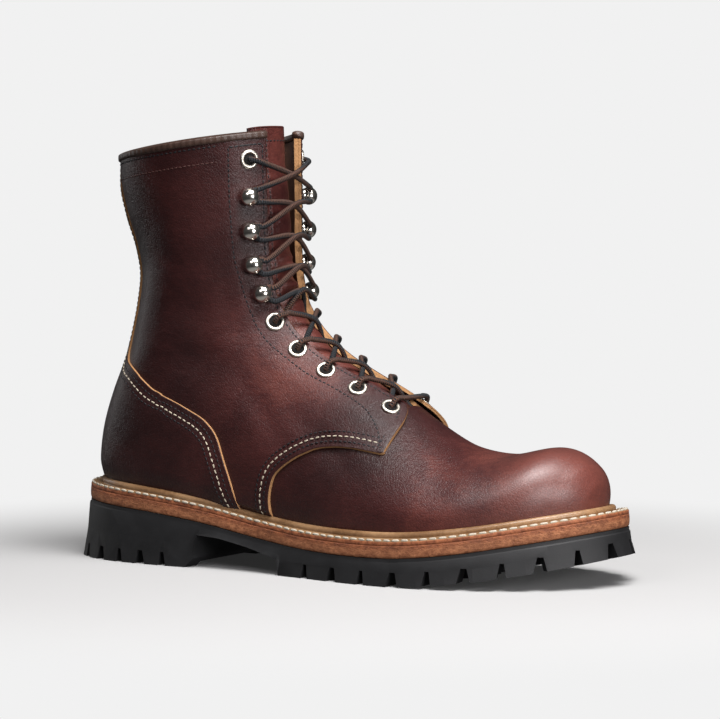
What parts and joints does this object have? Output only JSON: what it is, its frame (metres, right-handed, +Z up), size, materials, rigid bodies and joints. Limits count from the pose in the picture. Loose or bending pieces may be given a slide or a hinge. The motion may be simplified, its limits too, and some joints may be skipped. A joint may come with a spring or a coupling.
{
  "type": "logger boot",
  "caption": "Tall right lace-up logger boot: hollow leather upper with counter, tongue, eyelets and ball hooks, on a welted midsole and a lugged heeled sole.",
  "frame": {"origin": "on the floor plane under the middle of the heel", "axes": "+X towards the toe, +Y towards the inner side of the right foot, +Z up"},
  "size_m": [0.3144, 0.1161, 0.2265],
  "materials": {
    "outsole": "matt black moulded rubber",
    "midsole": "russet leather edge, rough",
    "welt": "olive tan leather",
    "insole": "plain leather board",
    "upper": "oxblood pull-up leather, satin",
    "counter": "oxblood pull-up leather, satin",
    "collar_binding": "taupe brown rolled edge",
    "tongue": "oxblood leather, satin",
    "metal": "polished nickel plate",
    "lace": "round braided cord, dark"
  },
  "bodies": {
    "root": {"collar_binding": "collar_binding", "counter": "counter", "eyelet_inner_1": "metal", "eyelet_inner_10": "metal", "eyelet_inner_2": "metal", "eyelet_inner_3": "metal", "eyelet_inner_4": "metal", "eyelet_inner_5": "metal", "eyelet_outer_1": "metal", "eyelet_outer_10": "metal", "eyelet_outer_2": "metal", "eyelet_outer_3": "metal", "eyelet_outer_4": "metal", "eyelet_outer_5": "metal", "hook_inner_6": "metal", "hook_inner_7": "metal", "hook_inner_8": "metal", "hook_inner_9": "metal", "hook_outer_6": "metal", "hook_outer_7": "metal", "hook_outer_8": "metal", "hook_outer_9": "metal", "insole": "insole", "lace_bar": "lace", "lace_cross_1": "lace", "lace_cross_2": "lace", "lace_cross_3": "lace", "lace_cross_4": "lace", "lace_cross_5": "lace", "lace_cross_6": "lace", "lace_cross_7": "lace", "lace_cross_8": "lace", "lace_cross_9": "lace", "midsole": "midsole", "outsole": "outsole", "tongue": "tongue", "upper": "upper", "welt": "welt"}
  },
  "joints": []
}
